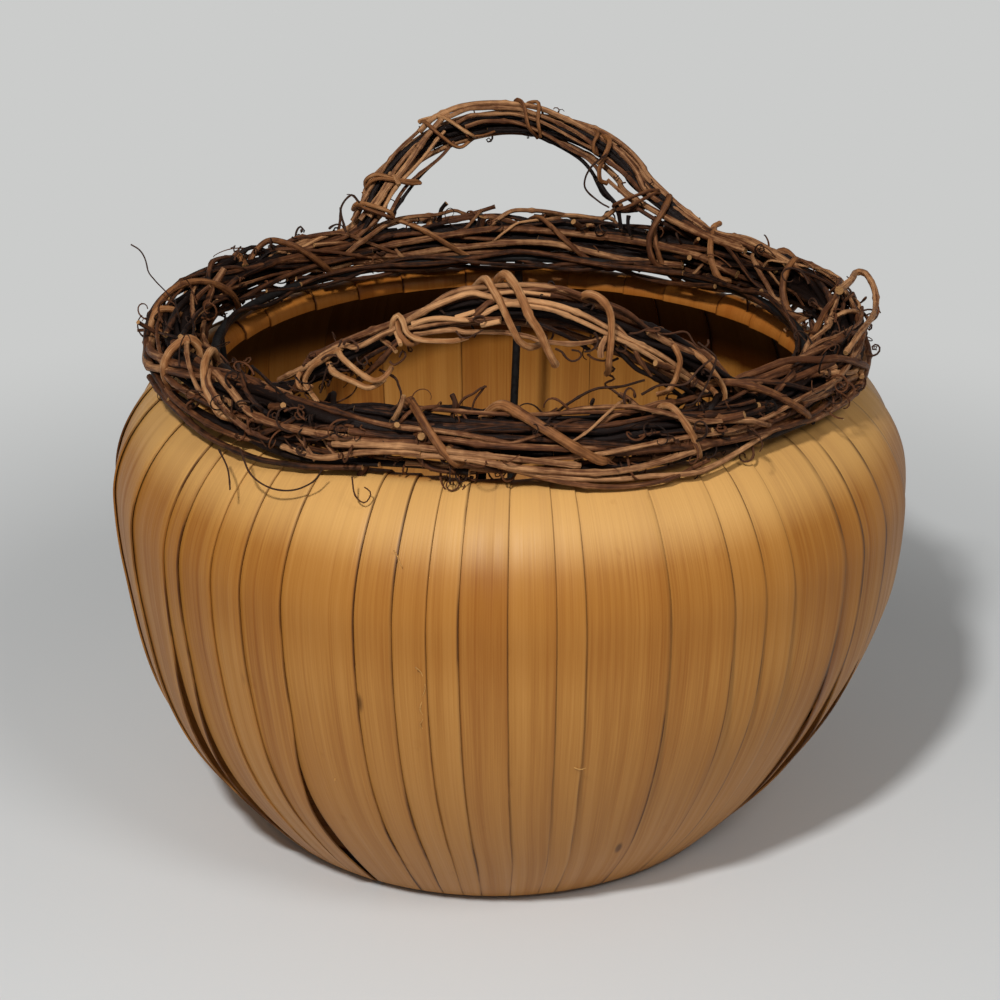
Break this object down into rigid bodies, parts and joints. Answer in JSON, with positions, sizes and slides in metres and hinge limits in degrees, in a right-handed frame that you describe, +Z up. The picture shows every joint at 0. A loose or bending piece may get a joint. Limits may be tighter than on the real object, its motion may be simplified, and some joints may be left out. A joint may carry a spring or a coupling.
{
  "type": "basket",
  "caption": "Round bowed basket of lapped wood strips on a wire frame, with a wreath of twisted vines round the mouth and two vine handles.",
  "frame": {"origin": "under the middle of the belly, on the plane that the basket rests on", "axes": "+Z up, the front with the lower and wider handle faces -Y, the handles stand on the front and back of the rim"},
  "size_m": [0.2754, 0.2756, 0.226],
  "materials": {
    "strip_wood": "satin",
    "board_wood": "matte",
    "frame_wire": "satin",
    "dark_vine": "matte",
    "binding_vine": "matte"
  },
  "bodies": {
    "root": {"strip_01": "strip_wood", "strip_02": "strip_wood", "strip_03": "strip_wood", "strip_04": "strip_wood", "strip_05": "strip_wood", "strip_06": "strip_wood", "strip_07": "strip_wood", "strip_08": "strip_wood", "strip_09": "strip_wood", "strip_10": "strip_wood", "strip_11": "strip_wood", "strip_12": "strip_wood", "strip_13": "strip_wood", "strip_14": "strip_wood", "strip_15": "strip_wood", "strip_16": "strip_wood", "strip_17": "strip_wood", "strip_18": "strip_wood", "strip_19": "strip_wood", "strip_20": "strip_wood", "strip_21": "strip_wood", "strip_22": "strip_wood", "strip_23": "strip_wood", "strip_24": "strip_wood", "strip_25": "strip_wood", "strip_26": "strip_wood", "strip_27": "strip_wood", "strip_28": "strip_wood", "strip_29": "strip_wood", "strip_30": "strip_wood", "strip_31": "strip_wood", "strip_32": "strip_wood", "strip_33": "strip_wood", "strip_34": "strip_wood", "strip_35": "strip_wood", "strip_36": "strip_wood", "strip_37": "strip_wood", "strip_38": "strip_wood", "strip_39": "strip_wood", "base_board": "board_wood", "wire_base_ring": "frame_wire", "wire_lip_ring": "frame_wire", "wire_upper_ring": "frame_wire", "wire_post_front": "frame_wire", "wire_post_right": "frame_wire", "wire_post_back": "frame_wire", "wire_post_left": "frame_wire", "wreath_core_vine": "dark_vine", "wreath_vine_1": "dark_vine", "wreath_vine_2": "dark_vine", "front_handle_vine_1": "dark_vine", "front_handle_vine_2": "dark_vine", "front_handle_vine_3": "dark_vine", "back_handle_vine_1": "dark_vine", "back_handle_vine_2": "dark_vine", "back_handle_vine_3": "dark_vine", "wreath_binding": "binding_vine", "front_handle_binding": "binding_vine", "back_handle_binding": "binding_vine"}
  },
  "joints": []
}
